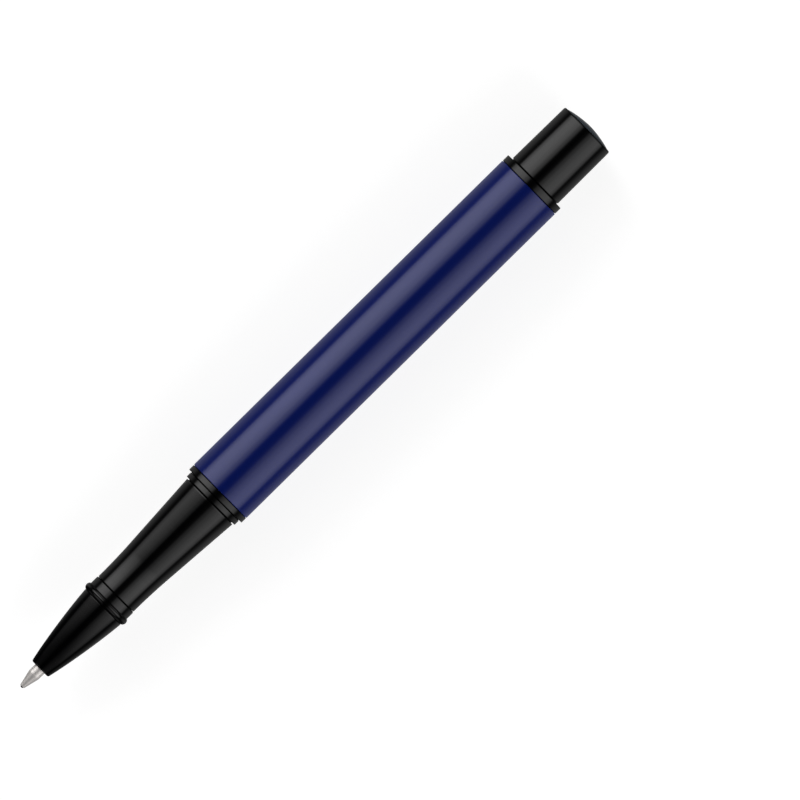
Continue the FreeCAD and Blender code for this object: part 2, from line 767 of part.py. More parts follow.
def narrow_arm(arm, back, tip):
    """Bows the arm's long sides, seen from above, and rounds the long edges of its back."""
    half = d.clip_root_width / 2
    before, beyond = back - d.cut_margin, tip + d.cut_margin
    for name, sign in (("near", 1), ("far", -1)):
        plan = new_sketch(arm, f"plan_{name}", "XY_Plane")
        inner, outer = half * sign, d.clip_width * sign * 2
        closed_outline(
            plan,
            [
                (before, inner),
                (back, inner, d.clip_plan_r, sign),
                (tip, inner),
                (beyond, inner),
                (beyond, outer),
                (before, outer),
            ],
        )
        cut = arm.newObject("PartDesign::Pocket", f"trim_{name}")
        cut.Profile = plan
        cut.Reversed = True
        cut.setExpression("Length", (d.clip_peak_r * 2).text)
        plan.Visibility = False
    doc.recompute()
    trimmed = arm.Tip
    boxes = [edge.BoundBox for edge in trimmed.Shape.Edges]
    long_edges = [
        f"Edge{i}"
        for i, box in enumerate(boxes, start=1)
        if box.XLength > d.clip_length.value / 2 and box.ZMax > d.clip_peak_r.value - d.clip_thick.value / 2
    ]
    soft = arm.newObject("PartDesign::Fillet", "soft_edges")
    soft.Base = (trimmed, long_edges)
    soft.setExpression("Radius", d.clip_soft_edge.text)


def write_steps():
    """Checks every object, then writes one STEP file for each piece."""
    doc.recompute()
    bad = [o.Name for o in doc.Objects if "Invalid" in o.State or "Error" in o.State]
    if bad:
        raise SystemExit(f"these objects failed: {bad}")
    pieces = [o for o in doc.Objects if o.TypeId == "PartDesign::Body"]
    for piece in pieces:
        shape = piece.Shape
        if shape.isNull() or not shape.isValid() or not shape.Solids:
            raise SystemExit(f"{piece.Label} has no valid solid")
    os.makedirs("parts", exist_ok=True)
    for piece in pieces:
        piece.Shape.exportStep(os.path.join("parts", f"{piece.Label}.step"))
        print(f"{piece.Label}: {piece.Shape.Volume:.2f} mm3, {len(piece.Shape.Solids)} solid")


build_barrel()
build_spring()
build_refill()
build_section()
build_cap()
build_clip()
write_steps()
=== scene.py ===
# %% [markdown]
# # A capped rollerball pen
# The pen lies on a pale table with its cap pulled off in line ahead of the point. Its sizes are already
# fixed by a CAD model, so this lesson is about surfaces: how a turned, lacquered object is rebuilt with
# clean shading, and how two soft boxes draw the long highlights that make lacquer look like lacquer.
# The CAD model comes in first. Everything after it is placed by what that model says.

# %% Load the fixed frame
import math

import bmesh
import bpy
from mathutils import Matrix, Vector


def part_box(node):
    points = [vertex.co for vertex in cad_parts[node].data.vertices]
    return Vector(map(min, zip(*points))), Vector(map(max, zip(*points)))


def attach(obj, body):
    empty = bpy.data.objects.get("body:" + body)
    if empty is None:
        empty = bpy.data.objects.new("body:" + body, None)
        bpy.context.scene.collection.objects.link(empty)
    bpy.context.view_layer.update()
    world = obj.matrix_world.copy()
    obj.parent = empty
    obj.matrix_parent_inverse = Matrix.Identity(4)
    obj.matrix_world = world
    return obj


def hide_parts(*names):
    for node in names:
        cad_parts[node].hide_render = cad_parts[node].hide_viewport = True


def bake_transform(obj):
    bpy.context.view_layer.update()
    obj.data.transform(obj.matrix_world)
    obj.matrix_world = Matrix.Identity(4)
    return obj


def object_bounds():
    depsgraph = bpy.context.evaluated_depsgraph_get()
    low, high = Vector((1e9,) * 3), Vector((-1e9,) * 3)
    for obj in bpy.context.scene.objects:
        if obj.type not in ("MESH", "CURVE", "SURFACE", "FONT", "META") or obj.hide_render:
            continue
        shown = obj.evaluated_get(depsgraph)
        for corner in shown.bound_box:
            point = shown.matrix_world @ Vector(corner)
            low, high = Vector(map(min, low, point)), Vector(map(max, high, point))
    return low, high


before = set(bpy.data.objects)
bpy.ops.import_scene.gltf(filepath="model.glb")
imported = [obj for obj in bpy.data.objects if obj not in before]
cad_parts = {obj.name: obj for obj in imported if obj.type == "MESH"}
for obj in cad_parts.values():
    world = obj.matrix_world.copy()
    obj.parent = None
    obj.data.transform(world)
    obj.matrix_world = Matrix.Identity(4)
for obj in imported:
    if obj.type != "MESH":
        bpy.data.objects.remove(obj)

CAD_BOX = [list(corner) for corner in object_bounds()]
MM = 0.001
print("CAD box in millimetres:", [[round(c / MM, 1) for c in corner] for corner in CAD_BOX])

# %% [markdown]
# The pen's axis is the X axis: x = 0 is the front of the blue barrel, +X runs to the tail, and the
# writing point is on the -X side. A turned piece is fully described by where it starts, where it ends
# and how far it reaches from that axis, so one helper reads those three numbers from a CAD node.

# %% Read a node's ends and radius


def ends(node):
    """Front end, rear end and outside radius of a turned CAD node, in metres."""
    low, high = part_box(node)
    return low.x, high.x, high.z


BARREL_FRONT, BARREL_REAR, BARREL_R = ends("barrel_tube")
print(f"barrel {BARREL_REAR / MM:.1f} mm long, {2 * BARREL_R / MM:.1f} mm across")

# %% [markdown]
# Nearly every piece of a pen comes off a lathe. In Blender a lathe is bmesh.ops.spin: draw half of the
# section as a chain of points in the XZ plane, and sweep it once round the X axis. The corners are
# rounded before the spin, while they are still points on a line, because a bevel there is exact and
# cheap. A real lathe leaves no knife edges, and it is those tiny radii that catch the light.

# %% A lathe
FACETS = 168
CORNER = 0.09 * MM
CORNER_STEPS = 4
TOUCHING = MM / 1e5


def turned(name, outline, closed=True):
    """Spins (x, radius) points round the X axis. A point may add the length and steps of its rounding."""
    bm = bmesh.new()
    corners = [bm.verts.new((point[0], 0, point[1])) for point in outline]
    following = corners[1:] + (corners[:1] if closed else [])
    for start, end in zip(corners, following):
        bm.edges.new((start, end))
    for corner, (_, _, *rounding) in zip(corners, outline):
        if rounding:
            steps = rounding[1] if len(rounding) > 1 else CORNER_STEPS
            bmesh.ops.bevel(
                bm, geom=[corner], offset=rounding[0], segments=steps, profile=0.5,
                affect="VERTICES", material=-1,
            )
    line = bm.verts[:] + bm.edges[:]
    bmesh.ops.spin(
        bm, geom=line, cent=(0, 0, 0), axis=(1, 0, 0), angle=math.tau, steps=FACETS, use_merge=True
    )
    bmesh.ops.remove_doubles(bm, verts=bm.verts, dist=TOUCHING)
    bmesh.ops.recalc_face_normals(bm, faces=bm.faces)
    return piece_from(name, bm)


# %% [markdown]
# Smooth shading blends the normals of neighbouring faces. Beside a tiny rounded corner that would bend
# the normals of the long face too, and a straight barrel would look swollen. The Weighted Normal
# modifier lets the largest face at each point decide, so that long faces stay true and the whole turn
# happens inside the rounding. The modifier ignores faces as small as a pen's are in metres, without
# saying so, so it works on a copy a thousand times larger. Normals don't change when a mesh is scaled
# evenly, and so the result is simply brought back to size.

# %% From mesh to piece
SHARP = math.radians(42)


def piece_from(name, bm):
    """Makes an object of a bmesh, with normals weighed by the size of the faces."""
    bmesh.ops.scale(bm, verts=bm.verts, vec=(1 / MM,) * 3)
    mesh = bpy.data.meshes.new("large_copy")
    bm.to_mesh(mesh)
    bm.free()
    mesh.shade_smooth()
    mesh.set_sharp_from_angle(angle=SHARP)
    large = bpy.data.objects.new("large_copy", mesh)
    bpy.context.scene.collection.objects.link(large)
    weighted = large.modifiers.new("true_normals", "WEIGHTED_NORMAL")
    weighted.keep_sharp = True
    finished = bpy.data.meshes.new_from_object(large.evaluated_get(bpy.context.evaluated_depsgraph_get()))
    finished.name = name
    finished.transform(Matrix.Scale(MM, 4))
    bpy.data.objects.remove(large)
    bpy.data.meshes.remove(mesh)
    piece = bpy.data.objects.new(name, finished)
    bpy.context.scene.collection.objects.link(piece)
    return piece


def place(piece, body, slot, finish, *nodes):
    """Gives a piece its finish, lets it ride on its CAD body, and hides the nodes it stands for."""
    piece.data.materials.append(finish)
    if nodes:
        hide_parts(*nodes)
    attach(piece, body)
    print(f"{piece.name}: {len(piece.data.polygons)} faces on {body}")
    return piece


# %% [markdown]
# ## Finishes
# Lacquer is two surfaces: a coloured coat with fine flakes in it, and a clear coat over that. The
# Principled shader has both. Numbers that are the same all over a surface go straight on its sockets.
# What varies from place to place comes from textures on Object coordinates, which are metres here, so a
# texture scale of 1000 makes features about a millimetre across. A noise texture seldom leaves the range
# from 0.3 to 0.7, so that is the range that is spread over the two colours or the two roughnesses.

# %% Helpers for finishes
NOISE_LOW, NOISE_HIGH = 0.3, 0.7


def finish_of(name, colour, roughness, **sockets):
    """A Principled material. An underscore in a keyword stands for a space in the socket's name."""
    finish = bpy.data.materials.new(name)
    finish.use_nodes = True
    shader = finish.node_tree.nodes["Principled BSDF"]
    shader.inputs["Base Color"].default_value = (*colour, 1)
    shader.inputs["Roughness"].default_value = roughness
    for socket, value in sockets.items():
        shader.inputs[socket.replace("_", " ")].default_value = value
    return finish


def pattern(finish, kind, stretch=(1, 1, 1), **sockets):
    """The value of a texture laid on the piece's own coordinates."""
    nodes, links = finish.node_tree.nodes, finish.node_tree.links
    coordinates = nodes.new("ShaderNodeTexCoord")
    mapping = nodes.new("ShaderNodeMapping")
    texture = nodes.new(kind)
    mapping.inputs["Scale"].default_value = stretch
    links.new(coordinates.outputs["Object"], mapping.inputs["Vector"])
    links.new(mapping.outputs["Vector"], texture.inputs["Vector"])
    for socket, value in sockets.items():
        texture.inputs[socket.replace("_", " ")].default_value = value
    return texture.outputs[0]


def vary_colour(finish, value, dark, light):
    nodes, links = finish.node_tree.nodes, finish.node_tree.links
    ramp = nodes.new("ShaderNodeValToRGB")
    for element, position, colour in zip(ramp.color_ramp.elements, (NOISE_LOW, NOISE_HIGH), (dark, light)):
        element.position = position
        element.color = (*colour, 1)
    links.new(value, ramp.inputs["Fac"])
    links.new(ramp.outputs["Color"], nodes["Principled BSDF"].inputs["Base Color"])


def vary_roughness(finish, value, smooth, rough):
    nodes, links = finish.node_tree.nodes, finish.node_tree.links
    spread = nodes.new("ShaderNodeMapRange")
    numbers = {"From Min": NOISE_LOW, "From Max": NOISE_HIGH, "To Min": smooth, "To Max": rough}
    for socket, number in numbers.items():
        spread.inputs[socket].default_value = number
    links.new(value, spread.inputs["Value"])
    links.new(spread.outputs["Result"], nodes["Principled BSDF"].inputs["Roughness"])


def emboss(finish, value, height, coat_too=False):
    """Raises the surface by at most height, in metres, where the texture is bright."""
    nodes, links = finish.node_tree.nodes, finish.node_tree.links
    bump = nodes.new("ShaderNodeBump")
    bump.inputs["Distance"].default_value = height
    links.new(value, bump.inputs["Height"])
    links.new(bump.outputs["Normal"], nodes["Principled BSDF"].inputs["Normal"])
    if coat_too:
        links.new(bump.outputs["Normal"], nodes["Principled BSDF"].inputs["Coat Normal"])


# %% [markdown]
# **Blue lacquer.** The barrel and cap are sprayed with a deep blue satin lacquer. The blue comes from a
# metallic base: it nearly goes out where it faces the dark above and glows where it faces a lamp,
# which plain diffuse paint can't do. The clear coat is slightly dull, with the faint ripple that spraying
# leaves, so its highlights are long soft bands and not mirror images.

# %% Blue lacquer
blue_lacquer = finish_of(
    "blue_lacquer", (0.0012, 0.0068, 0.1), 0.45,
    Metallic=0.4, Specular_IOR_Level=0.1, Coat_Weight=1.0, Coat_Roughness=0.13, Coat_IOR=1.5,
    Sheen_Weight=0.3, Sheen_Roughness=0.3, Sheen_Tint=(0.08, 0.16, 1.0, 1.0),
)
flakes = pattern(blue_lacquer, "ShaderNodeTexNoise", Scale=14000.0, Detail=2.0, Roughness=0.7)
vary_colour(blue_lacquer, flakes, (0.0008, 0.006, 0.088), (0.0015, 0.009, 0.125))
clouds = pattern(blue_lacquer, "ShaderNodeTexNoise", (1, 3, 3), Scale=60.0, Detail=3.0)
vary_roughness(blue_lacquer, clouds, 0.36, 0.44)
ripple = pattern(blue_lacquer, "ShaderNodeTexNoise", Scale=1800.0, Detail=2.0)
emboss(blue_lacquer, ripple, 0.0006 * MM, coat_too=True)

# %% [markdown]
# **Black lacquer.** The section, the rings and the tail are polished black. Black paint has almost no
# colour of its own, so everything seen in it is reflection, and the only variation worth adding is in
# its polish: faint turning marks round the piece and a little unevenness.

# %% Black lacquer
black_gloss = finish_of("black_gloss", (0.0003, 0.0003, 0.0004), 0.1, Specular_IOR_Level=0.5)
polish = pattern(black_gloss, "ShaderNodeTexNoise", (6, 1, 1), Scale=420.0, Detail=4.0, Roughness=0.6)
vary_roughness(black_gloss, polish, 0.08, 0.14)
turning = pattern(black_gloss, "ShaderNodeTexNoise", (1, 0.02, 0.02), Scale=5200.0, Detail=2.0)
emboss(black_gloss, turning, 0.00012 * MM)

clip_black = finish_of("clip_black", (0.004, 0.004, 0.0043), 0.33, Specular_IOR_Level=0.5)
spray = pattern(clip_black, "ShaderNodeTexNoise", Scale=7000.0, Detail=3.0, Roughness=0.65)
vary_colour(clip_black, spray, (0.003, 0.003, 0.0032), (0.0065, 0.0065, 0.007))
vary_roughness(clip_black, spray, 0.28, 0.38)
emboss(clip_black, spray, 0.0015 * MM)

black_button = finish_of("black_button", (0.03, 0.042, 0.056), 0.16, Coat_Weight=0.6, Coat_Roughness=0.08)
polish = pattern(black_button, "ShaderNodeTexNoise", Scale=900.0, Detail=3.0)
vary_roughness(black_button, polish, 0.13, 0.22)

# %% [markdown]
# **Metals.** The writing tip is a nickel-silver turning, and the hidden bushings are brass. A turned
# metal shows fine rings round its axis. They come from a noise that is squeezed along the axis and
# stretched across it, so that it changes quickly along X and hardly at all round the piece. The tip's
# surface is slightly matt, so a quarter of its shade is plain diffuse, which keeps its dark side silvery.

# %% Metals


def machined(name, dark, light, roughness, ring_scale, metallic=1.0):
    metal = finish_of(name, light, roughness, Metallic=metallic)
    squeeze = (1, 0.03, 0.03)
    rings = pattern(metal, "ShaderNodeTexNoise", squeeze, Scale=ring_scale, Detail=3.0, Roughness=0.7)
    vary_colour(metal, rings, dark, light)
    vary_roughness(metal, rings, roughness * 0.8, roughness * 1.25)
    emboss(metal, rings, 0.001 * MM)
    return metal


brass = machined("brass", (0.5, 0.33, 0.1), (0.68, 0.49, 0.19), 0.24, 4200.0)
tip_metal = machined("tip_metal", (0.84, 0.8, 0.77), (0.97, 0.93, 0.9), 0.42, 9000.0, metallic=0.75)
spring_steel = machined("spring_steel", (0.4, 0.4, 0.42), (0.6, 0.6, 0.63), 0.22, 3000.0)
ball_carbide = finish_of("ball_carbide", (0.13, 0.13, 0.14), 0.16, Metallic=1.0)
fine = pattern(ball_carbide, "ShaderNodeTexNoise", Scale=30000.0, Detail=3.0)
vary_colour(ball_carbide, fine, (0.1, 0.1, 0.11), (0.17, 0.17, 0.18))

# %% [markdown]
# **Plastics and fibre.** The refill and the inner cap are moulded. They show only when the pen is taken
# apart, but they still get the soft orange-peel texture that a mould leaves. The ink store is felt.

# %% Plastics and fibre


def moulded(name, dark, light, roughness, grain=2500.0):
    plastic = finish_of(name, light, roughness, Specular_IOR_Level=0.45)
    peel = pattern(plastic, "ShaderNodeTexNoise", Scale=grain, Detail=3.0, Roughness=0.6)
    vary_colour(plastic, peel, dark, light)
    vary_roughness(plastic, peel, roughness * 0.85, roughness * 1.2)
    emboss(plastic, peel, 0.003 * MM)
    return plastic


refill_plastic = moulded("refill_plastic", (0.5, 0.52, 0.55), (0.62, 0.63, 0.66), 0.28)
refill_plug = moulded("refill_plug", (0.008, 0.014, 0.13), (0.012, 0.02, 0.17), 0.38)
refill_holder = moulded("refill_holder", (0.012, 0.012, 0.013), (0.022, 0.022, 0.024), 0.4)
core_black = moulded("core_black", (0.004, 0.004, 0.004), (0.009, 0.009, 0.009), 0.7)
liner_plastic = moulded("liner_plastic", (0.008, 0.008, 0.009), (0.016, 0.016, 0.017), 0.45)
ink_fibre = moulded("ink_fibre", (0.004, 0.006, 0.06), (0.012, 0.016, 0.12), 0.85, 9000.0)

# %% [markdown]
# ## The barrel
# The blue tube is open at both ends, so its section is a closed four-cornered outline a little away from
# the axis. Both outer corners are just broken, and the rest of the shine comes from the lacquer.

# %% Barrel tube
WALL = 0.5 * MM
barrel = turned(
    "lacquered_barrel",
    [
        (BARREL_FRONT, BARREL_R - WALL),
        (BARREL_FRONT, BARREL_R, CORNER),
        (BARREL_REAR, BARREL_R, CORNER),
        (BARREL_REAR, BARREL_R - WALL),
    ],
)
place(barrel, "barrel", "blue_lacquer", blue_lacquer, "barrel_tube")

# %% [markdown]
# Plain rings are made the same way, so they share a helper. Each trim ring is a separate piece with
# broken edges. A hairline shows between a ring and its neighbour, but no light comes through it, because
# each ring has a lower lip that reaches across. The lip slopes steeply, so it reflects the dark ends of
# the studio and the hairline stays black. The stop ring's front lip is lower still, so that it fits inside
# the cap's mouth when the cap comes up against the ring.

# %% Trim rings
LIP_STEP, LIP_FALL = 0.1 * MM, 0.12 * MM


def ring(name, node, bore, front_lip, rear_lip, front_step=LIP_STEP):
    """A sleeve as long and as wide as its node. A sloping lip at each end closes the hairline next to it."""
    front, rear, radius = ends(node)
    return turned(
        name,
        [
            (front - front_lip, bore),
            (front - front_lip, radius - front_step - LIP_FALL),
            (front, radius - front_step),
            (front, radius, CORNER),
            (rear, radius, CORNER),
            (rear, radius - LIP_STEP),
            (rear + rear_lip, radius - LIP_STEP - LIP_FALL),
            (rear + rear_lip, bore),
        ],
    )


SPIGOT_BORE, CORE_BORE = 4.62 * MM, 4.32 * MM
tail_trim = ring("tail_trim", "tail_ring", SPIGOT_BORE, 0.06 * MM, 0.01 * MM)
place(tail_trim, "barrel", "black_gloss", black_gloss, "tail_ring")
step_down = ends("stop_ring")[2] - ends("snap_ring")[2] + 0.03 * MM
stop_trim = ring("stop_trim", "stop_ring", CORE_BORE, 0.08 * MM, 0.06 * MM, step_down)
place(stop_trim, "section", "black_gloss", black_gloss, "stop_ring")

# %% [markdown]
# The ring that the cap grips has a narrow collar in front of it, which fills the groove behind the grip.
# The collar's surface is a shallow V. Its two slopes face along the pen, where the studio is dark, so the
# groove stays a black line from side to side, and doesn't light up as a plain floor would.

# %% Ring with a collar
COLLAR_R, COLLAR_DIP = 4.92 * MM, 0.15 * MM
snap_front, snap_rear, snap_r = ends("snap_ring")
GROOVE = 0.2 * MM
collar_front = snap_front - GROOVE
snap = turned(
    "snap_trim",
    [
        (collar_front, CORE_BORE),
        (collar_front, COLLAR_R),
        ((collar_front + snap_front) / 2, COLLAR_R - COLLAR_DIP),
        (snap_front, COLLAR_R),
        (snap_front, snap_r, CORNER),
        (snap_rear, snap_r, CORNER),
        (snap_rear, CORE_BORE),
    ],
)
place(snap, "section", "black_gloss", black_gloss, "snap_ring")

# %% [markdown]
# ## The tail
# The tail is a slim plug: a long spigot that goes down inside the barrel, a neck, and a slightly tapered
# head with a rounded rim. Its end is recessed for a domed button. Building the hidden spigot as well
# keeps the piece a closed solid, which looks right if the pen is ever opened or cut.

# %% Tail plug
plug_front, plug_rear, _ = ends("tail_plug")
ring_rear = ends("tail_ring")[1]
HEAD_R, HEAD_REAR_R, HEAD_ROUND = 5.13 * MM, 5.05 * MM, 0.32 * MM
SPIGOT_R, NECK_R, SPRING_BORE, STEM_BORE = 4.6 * MM, 5.09 * MM, 3.3 * MM, 1.42 * MM
SPRING_DEPTH, STEM_DEPTH = 16.4 * MM, 4.1 * MM
head_front = ring_rear + 0.24 * MM
recess_r = ends("tail_button")[2] + 0.02 * MM
recess = plug_rear - 0.4 * MM
plug = turned(
    "tail_cap",
    [
        (plug_front, SPRING_BORE),
        (plug_front, SPIGOT_R, CORNER),
        (ring_rear, SPIGOT_R),
        (ring_rear, NECK_R),
        ((ring_rear + head_front) / 2, NECK_R - COLLAR_DIP),
        (head_front, NECK_R),
        (head_front, HEAD_R, CORNER),
        (plug_rear, HEAD_REAR_R, HEAD_ROUND, 8),
        (plug_rear, recess_r, CORNER / 2, 2),
        (recess, recess_r),
        (recess, STEM_BORE),
        (recess - STEM_DEPTH, STEM_BORE),
        (recess - STEM_DEPTH, 0),
        (plug_front + SPRING_DEPTH, 0),
        (plug_front + SPRING_DEPTH, SPRING_BORE),
    ],
    closed=False,
)
place(plug, "barrel", "black_gloss", black_gloss, "tail_plug")

# %% [markdown]
# The button is a shallow dome on a stem. A dome can be drawn as one corner with a very large rounding:
# the corner stands where the tangents at the crown and at the rim meet, and the bevel turns it into the
# arc between them.

# %% Tail button
button_front, crown, button_r = ends("tail_button")
STEM_R = 1.4 * MM
DOME_CORNER, DOME_ROUND = 2.28 * MM, 2.2 * MM
dome_edge = plug_rear + 0.02 * MM
button = turned(
    "tail_dome",
    [
        (button_front, 0),
        (button_front, STEM_R),
        (recess, STEM_R),
        (recess, button_r),
        (dome_edge, button_r, CORNER, 3),
        (crown, DOME_CORNER, DOME_ROUND, 16),
        (crown, 0),
    ],
    closed=False,
)
place(button, "barrel", "black_button", black_button, "tail_button")

# %% [markdown]
# ## The section
# The grip is where fingers hold the pen. It starts slim, flares in one long concave curve and runs on as
# a straight taper to a crisp rear rim. The flare is again a single rounded corner, three millimetres
# long on either side. The taper stops just short of the rear, and the narrow level land behind it makes
# the thin bright line there.

# %% Grip
grip_front, flange_rear, grip_r = ends("grip")
grip_rear = collar_front
GRIP_BORE, GRIP_FRONT_R = 3.49 * MM, 4.0 * MM
FLARE, LAND = 3.0 * MM, 0.2 * MM
flare_corner = grip_front + 3.87 * MM
flange_front = flange_rear - 0.85 * MM
print(f"grip {(grip_rear - grip_front) / MM:.1f} mm long, {2 * grip_r / MM:.1f} mm across at the rear")
grip = turned(
    "flared_grip",
    [
        (grip_front, GRIP_BORE),
        (grip_front, GRIP_FRONT_R, CORNER),
        (flare_corner, GRIP_FRONT_R, FLARE, 20),
        (grip_rear - LAND, grip_r, 0.02 * MM, 2),
        (grip_rear, grip_r, 0.04 * MM, 3),
        (grip_rear, CORE_BORE),
        (flange_front, CORE_BORE),
        (flange_front, GRIP_BORE),
    ],
)
place(grip, "section", "black_gloss", black_gloss, "grip")

# %% [markdown]
# The nose ring has a bead in front and a plain band behind. The bead is a little more than a third of a
# circle in section. Two corners stand round it like a box lid, and rounding both of them until they
# meet gives the bulge.

# %% Nose ring
nose_ring_front, nose_ring_rear, _ = ends("nose_ring")
cone_rear = ends("nose_cone")[1]
print(f"line between cone and ring {(nose_ring_front - cone_rear) / MM:.3f} mm")
CONE_R, BAND_R, BEAD_R = 4.0 * MM, 4.08 * MM, 4.445 * MM
BEAD_ROUND = 0.42 * MM
bead_rear = nose_ring_front + 1.28 * MM
grip_side = nose_ring_rear + 0.12 * MM
nose_ring = turned(
    "bead_and_band",
    [
        (cone_rear, GRIP_BORE),
        (cone_rear, CONE_R - 0.08 * MM),
        (nose_ring_front, CONE_R),
        (nose_ring_front + 0.21 * MM, BEAD_R, BEAD_ROUND, 8),
        (bead_rear - 0.18 * MM, BEAD_R, BEAD_ROUND, 8),
        (bead_rear, BAND_R),
        (nose_ring_rear, BAND_R, CORNER),
        (nose_ring_rear, BAND_R - LIP_STEP),
        (grip_side, BAND_R - LIP_STEP - LIP_FALL),
        (grip_side, GRIP_BORE),
    ],
)
place(nose_ring, "section", "black_gloss", black_gloss, "nose_ring")

# %% [markdown]
# The nose cone swells very slightly between its two ends, which a straight cone would miss, and its front
# edge rolls over into a small flat face round the hole. The stepped bore behind it follows the refill.

# %% Nose cone
nose_front, nose_rear, _ = ends("nose_cone")
NOSE_HOLE_R, NOSE_FACE_R, SWELL_R = 1.2 * MM, 1.83 * MM, 3.44 * MM
SWELL_X, SWELL_ROUND = nose_front + 7.17 * MM, 6.85 * MM
NECK_BORE, STEP_R, WIDE_BORE = 1.85 * MM, 2.5 * MM, 3.15 * MM
lip_depth, neck_start = nose_front + 1.0 * MM, nose_front + 4.0 * MM
step_rear = ends("refill_holder")[0] + 7.4 * MM
core_front = nose_rear - 2.74 * MM
nose = turned(
    "nose",
    [
        (nose_front, NOSE_HOLE_R, 0.05 * MM, 2),
        (nose_front, NOSE_FACE_R, 0.27 * MM, 8),
        (SWELL_X, SWELL_R, SWELL_ROUND, 20),
        (nose_rear, CONE_R, 0.04 * MM, 3),
        (nose_rear, GRIP_BORE),
        (core_front, GRIP_BORE),
        (core_front, WIDE_BORE),
        (step_rear + 1.25 * MM, WIDE_BORE),
        (step_rear, STEP_R),
        (step_rear, NECK_BORE),
        (neck_start, NECK_BORE),
        (lip_depth, 1.4 * MM),
        (lip_depth, NOSE_HOLE_R),
    ],
)
place(nose, "section", "black_gloss", black_gloss, "nose_cone")

# %% [markdown]
# The metal tip is a slim shank that ends in a cone. Its front rim is rolled over the ball so that
# the ball can turn but not fall out, so the cup inside is built as well. The ball itself is a sphere in
# the CAD model too. That shape is right, so the node stays and only gets its metal.

# %% Writing tip
tip_front, tip_rear, tip_r = ends("refill_tip")
RIM_R, RIM_HOLE_R, CUP_R = 0.43 * MM, 0.347 * MM, 0.38 * MM
CHANNEL_R, TIP_BORE = 0.15 * MM, 0.5 * MM
shoulder = tip_front + 2.64 * MM
bore_end, channel_end, cup_end = tip_front + 2.0 * MM, tip_front + 1.6 * MM, tip_front + 0.5 * MM
tip = turned(
    "writing_tip",
    [
        (tip_front, RIM_HOLE_R),
        (tip_front, RIM_R, 0.03 * MM, 3),
        (shoulder, tip_r, 0.08 * MM, 4),
        (tip_rear, tip_r, 0.05 * MM),
        (tip_rear, TIP_BORE),
        (bore_end, TIP_BORE),
        (channel_end, CHANNEL_R),
        (cup_end, CHANNEL_R),
        (cup_end, CUP_R, 0.2 * MM, 6),
    ],
)
place(tip, "refill", "tip_metal", tip_metal, "refill_tip")

# %% [markdown]
# ## The cap
# The cap tube is lacquered like the barrel but a little wider. The black band at its mouth is a separate
# ring that goes down inside the tube. Two fine lines are turned into it, one near each edge, as V-shaped
# cuts in its outline.

# %% Cap tube and lip ring
cap_rear, cap_front, cap_r = ends("cap_tube")
CAP_BORE, CAP_ROUND = 5.9 * MM, 0.1 * MM
cap_tube = turned(
    "lacquered_cap",
    [
        (cap_rear, CAP_BORE),
        (cap_rear, cap_r, CAP_ROUND),
        (cap_front, cap_r, CAP_ROUND),
        (cap_front, CAP_BORE),
    ],
)
place(cap_tube, "cap", "blue_lacquer", blue_lacquer, "cap_tube")

lip_rear, mouth, lip_r = ends("cap_lip_ring")
LIP_BORE = 5.52 * MM
LINE_HALF, LINE_DEPTH = 0.09 * MM, 0.1 * MM
lines = []
for line in (mouth - 3.6 * MM, mouth - 0.6 * MM):
    lines += [(line - LINE_HALF, lip_r), (line, lip_r - LINE_DEPTH), (line + LINE_HALF, lip_r)]
lip = turned(
    "lip_band",
    [
        (lip_rear, LIP_BORE),
        (lip_rear, lip_r),
        *lines,
        (mouth, lip_r, CAP_ROUND),
        (mouth, LIP_BORE, CORNER),
    ],
)
place(lip, "cap", "black_gloss", black_gloss, "cap_lip_ring")

# %% [markdown]
# The finial closes the cap and clamps the clip. It has a low rim, rounded at the top, and a dome made as
# the button's was. Its stud goes through the clip's ring into the brass plug.

# %% Finial
finial_top, stud_end, finial_r = ends("finial")
STUD_R, FINIAL_DOME_R = 1.22 * MM, 5.1 * MM
FINIAL_CORNER, FINIAL_ROUND = 2.61 * MM, 2.55 * MM
under = cap_rear - 0.8 * MM
rim = under - 1.5 * MM
finial = turned(
    "finial_dome",
    [
        (finial_top, 0),
        (finial_top, FINIAL_CORNER, FINIAL_ROUND, 18),
        (rim, FINIAL_DOME_R, 0.05 * MM, 2),
        (rim, finial_r, 0.3 * MM, 8),
        (under, finial_r, 0.1 * MM, 3),
        (under, STUD_R),
        (stud_end, STUD_R),
        (stud_end, 0),
    ],
    closed=False,
)
place(finial, "cap", "black_gloss", black_gloss, "finial")

# %% [markdown]
# ## The clip
# The clip is one strip of spring metal. Its ring sits under the finial, a tongue stands up from the ring,
# and the strip bends over into a long arch that comes down to the cap at its free end. It is made here as
# the metal is: spin a washer, pull a few of its rim faces up into a tongue, spin those faces round the
# bend, and spin them again round the centre of the arch. It is drawn standing straight up and is turned
# to its real side at the end.

# %% Clip: washer, tongue, bend and arch
CLIP_TURN = math.radians(106.9)
RING_R, RING_HOLE_R = 5.9 * MM, 1.6 * MM
TONGUE_HALF = 2.45 * MM
NECK_Z = 6.2 * MM
BEND = Vector((cap_rear + 0.7 * MM, 0, 6.716 * MM))
ARCH = Vector((cap_rear + 22.2 * MM, 0, -60.95 * MM))
BEND_ANGLE, ARCH_ANGLE = math.radians(72.37), math.radians(37.38)
BEND_STEPS, ARCH_STEPS = 14, 72


def middle(face):
    return face.calc_center_median()


def swept(bm, faces, centre, angle, steps):
    """Spins faces about a centre in the strip's own plane, and gives back the faces at the far end."""
    geom = list({item for face in faces for item in (*face.verts, *face.edges, face)})
    last = bmesh.ops.spin(bm, geom=geom, cent=centre, axis=(0, 1, 0), angle=angle, steps=steps)["geom_last"]
    return [item for item in last if isinstance(item, bmesh.types.BMFace)]


